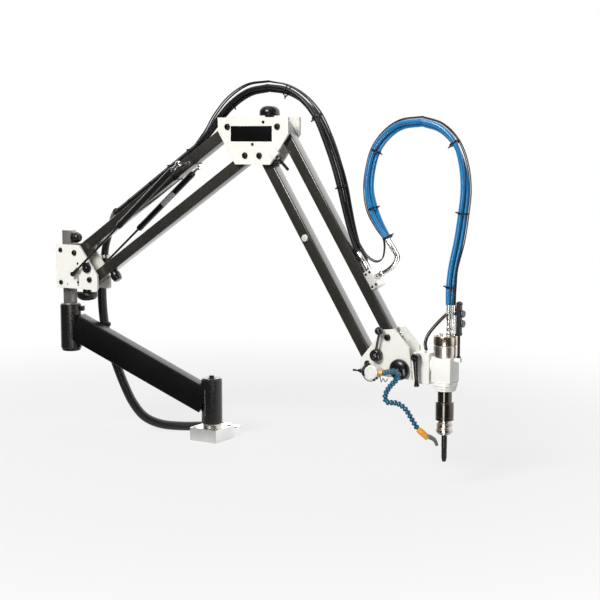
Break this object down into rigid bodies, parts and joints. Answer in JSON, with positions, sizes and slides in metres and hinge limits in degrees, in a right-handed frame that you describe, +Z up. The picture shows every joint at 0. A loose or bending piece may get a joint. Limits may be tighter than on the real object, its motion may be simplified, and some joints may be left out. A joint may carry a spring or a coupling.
{
  "type": "arm tapping machine",
  "caption": "Bench arm tapping machine: a swinging riser beam and two balanced parallelogram arms carry a tilting head with a hydraulic motor, spindle, chuck and tap.",
  "frame": {"origin": "centre of the base block's underside, on the base swing axis", "axes": "+Z up, +X along the plane of the arm towards the head; the pictured pose is the rest pose"},
  "size_m": [1.5596, 0.4237, 1.208],
  "materials": {
    "black_paint": "gloss",
    "charcoal_paint": "satin",
    "cream_paint": "satin",
    "block_aluminium": "satin",
    "bright_steel": "satin",
    "plated_steel": "polished",
    "dark_steel": "satin",
    "bronze": "satin",
    "black_rubber": "gloss",
    "blue_hose": "gloss",
    "coolant_blue": "gloss",
    "black_plastic": "gloss",
    "white_plastic": "satin",
    "button_blue": "gloss"
  },
  "bodies": {
    "base": {"base_block": "block_aluminium", "base_post": "bright_steel", "base_cap": "bright_steel", "supply_floor": "black_rubber", "supply_couplers": "plated_steel"},
    "riser": {"base_sleeve": "black_paint", "swing_bushes": "bronze", "riser_beam": "black_paint", "shoulder_sleeve": "black_paint", "sleeve_cap": "black_paint"},
    "shoulder": {"shoulder_post": "bright_steel", "shoulder_plates": "cream_paint", "shoulder_bolts": "dark_steel", "shoulder_fittings": "block_aluminium", "shoulder_bumpers": "black_rubber", "supply_hang": "black_rubber", "hose_shoulder_bend": "black_rubber"},
    "upper_arm": {"upper_tube": "charcoal_paint", "upper_pivots": "bright_steel", "hose_upper_run": "black_rubber"},
    "lower_tube": {"lower_tube": "charcoal_paint", "lower_pivots": "bright_steel", "lower_tube_bumper": "black_rubber"},
    "spring_front": {"spring_body_front": "dark_steel"},
    "spring_rear": {"spring_body_rear": "dark_steel"},
    "spring_rod_front": {"spring_rod_front": "bright_steel"},
    "spring_rod_rear": {"spring_rod_rear": "bright_steel"},
    "elbow": {"elbow_plates": "cream_paint", "elbow_bolts": "dark_steel", "elbow_bumper": "black_rubber", "elbow_label": "black_plastic", "elbow_stop": "cream_paint", "hose_arch_rear": "black_rubber", "hose_arch_front": "black_rubber"},
    "fore_outer": {"fore_outer_tube": "charcoal_paint", "fore_outer_pivots": "bright_steel", "hose_manifold": "block_aluminium", "manifold_fittings": "plated_steel"},
    "fore_inner": {"fore_inner_tube": "charcoal_paint", "fore_inner_pivots": "bright_steel"},
    "head_plates": {"head_plates": "cream_paint", "head_bolts": "dark_steel", "head_clamp": "cream_paint", "head_bumper": "black_rubber", "coolant_valve": "white_plastic", "coolant_line": "coolant_blue", "hose_loop_rise": "blue_hose", "hose_loop_drop": "blue_hose", "head_cable": "black_rubber"},
    "head": {"motor_block": "cream_paint", "motor": "bright_steel", "head_fittings": "plated_steel", "control_module": "black_plastic"},
    "spindle": {"spindle": "dark_steel"},
    "chuck_sleeve": {"chuck_sleeve": "bright_steel"},
    "ball_lever": {"ball_lever": "black_plastic"},
    "ratchet_lever": {"ratchet_lever": "black_plastic"},
    "coolant_lever": {"coolant_lever": "black_plastic"},
    "button_upper": {"button_upper": "button_blue"},
    "button_lower": {"button_lower": "button_blue"}
  },
  "joints": [
    {"name": "base_swing", "type": "hinge", "parent": "base", "child": "riser", "pos_m": [0, 0, 0.13], "axis": [0, 0, 1], "range_deg": [-60, 75], "deforming": ["supply_floor"]},
    {"name": "shoulder_swing", "type": "hinge", "parent": "riser", "child": "shoulder", "pos_m": [-0.47451, -0.18692, 0.4], "axis": [0, 0, 1], "range_deg": [-75, 60], "deforming": ["supply_hang"]},
    {"name": "upper_arm_lift", "type": "hinge", "parent": "shoulder", "child": "upper_arm", "pos_m": [-0.41951, -0.18692, 0.65], "axis": [0, -1, 0], "range_deg": [-9, 22], "deforming": ["hose_shoulder_bend"]},
    {"name": "lower_tube_follow", "type": "hinge", "parent": "shoulder", "child": "lower_tube", "pos_m": [-0.35251, -0.18692, 0.56], "axis": [0, -1, 0], "range_deg": [-9, 22]},
    {"name": "elbow_level", "type": "hinge", "parent": "upper_arm", "child": "elbow", "pos_m": [0.23092, -0.18692, 1.08051], "axis": [0, -1, 0], "range_deg": [-22, 9], "deforming": ["hose_arch_rear"]},
    {"name": "forearm_lift", "type": "hinge", "parent": "elbow", "child": "fore_outer", "pos_m": [0.41892, -0.18692, 1.08051], "axis": [0, -1, 0], "range_deg": [-19, 36], "deforming": ["hose_arch_front"]},
    {"name": "inner_tube_follow", "type": "hinge", "parent": "elbow", "child": "fore_inner", "pos_m": [0.35192, -0.18692, 0.99051], "axis": [0, -1, 0], "range_deg": [-19, 36]},
    {"name": "head_level", "type": "hinge", "parent": "fore_outer", "child": "head_plates", "pos_m": [0.81106, -0.18692, 0.45295], "axis": [0, -1, 0], "range_deg": [-36, 19], "deforming": ["hose_loop_rise"]},
    {"name": "head_tilt", "type": "hinge", "parent": "head_plates", "child": "head", "pos_m": [0.94656, -0.18692, 0.37795], "axis": [1, 0, 0], "range_deg": [0, 90], "deforming": ["hose_loop_drop", "head_cable"]},
    {"name": "spindle_turn", "type": "hinge", "parent": "head", "child": "spindle", "pos_m": [0.98506, -0.18692, 0.31795], "axis": [0, 0, 1], "continuous": true},
    {"name": "chuck_release", "type": "slide", "parent": "spindle", "child": "chuck_sleeve", "axis": [0, 0, 1], "range_m": [0, 0.006], "stiffness_N_per_m": 400, "springref_m": -0.004},
    {"name": "ball_lever_turn", "type": "hinge", "parent": "head_plates", "child": "ball_lever", "pos_m": [0.77706, -0.22692, 0.39696], "axis": [0, -1, 0], "range_deg": [-55, 60]},
    {"name": "ratchet_lever_turn", "type": "hinge", "parent": "head_plates", "child": "ratchet_lever", "pos_m": [0.91106, -0.22692, 0.40196], "axis": [0, -1, 0], "range_deg": [-20, 12]},
    {"name": "coolant_valve_turn", "type": "hinge", "parent": "head_plates", "child": "coolant_lever", "pos_m": [0.72956, -0.24792, 0.34846], "axis": [1, 0, 0], "range_deg": [0, 90]},
    {"name": "button_upper_press", "type": "slide", "parent": "head", "child": "button_upper", "axis": [-1, 0, 0], "range_m": [0, 0.003], "stiffness_N_per_m": 600, "springref_m": -0.002},
    {"name": "button_lower_press", "type": "slide", "parent": "head", "child": "button_lower", "axis": [-1, 0, 0], "range_m": [0, 0.003], "stiffness_N_per_m": 600, "springref_m": -0.002},
    {"name": "spring_front_turn", "type": "hinge", "parent": "upper_arm", "child": "spring_front", "pos_m": [0.04442, -0.23692, 0.96187], "axis": [0, -1, 0], "range_deg": [-1.85, 0.76]},
    {"name": "spring_front_stroke", "type": "slide", "parent": "spring_front", "child": "spring_rod_front", "axis": [-0.7676, 0, -0.6409], "range_m": [-0.00826, 0.02004]},
    {"name": "spring_rear_turn", "type": "hinge", "parent": "upper_arm", "child": "spring_rear", "pos_m": [0.05325, -0.13692, 0.94853], "axis": [0, -1, 0], "range_deg": [-1.15, 0.47]},
    {"name": "spring_rear_stroke", "type": "slide", "parent": "spring_rear", "child": "spring_rod_rear", "axis": [-0.7702, 0, -0.6378], "range_m": [-0.01079, 0.02622]}
  ],
  "couplings": [
    {"joint": "lower_tube_follow", "follows": "upper_arm_lift", "ratio": 1},
    {"joint": "elbow_level", "follows": "upper_arm_lift", "ratio": -1},
    {"joint": "spring_front_turn", "follows": "upper_arm_lift", "ratio": -0.08375},
    {"joint": "spring_front_stroke", "follows": "upper_arm_lift", "m_per_rad": 0.051923},
    {"joint": "spring_rear_turn", "follows": "upper_arm_lift", "ratio": -0.05165},
    {"joint": "spring_rear_stroke", "follows": "upper_arm_lift", "m_per_rad": 0.068027},
    {"joint": "inner_tube_follow", "follows": "forearm_lift", "ratio": 1},
    {"joint": "head_level", "follows": "forearm_lift", "ratio": -1}
  ]
}
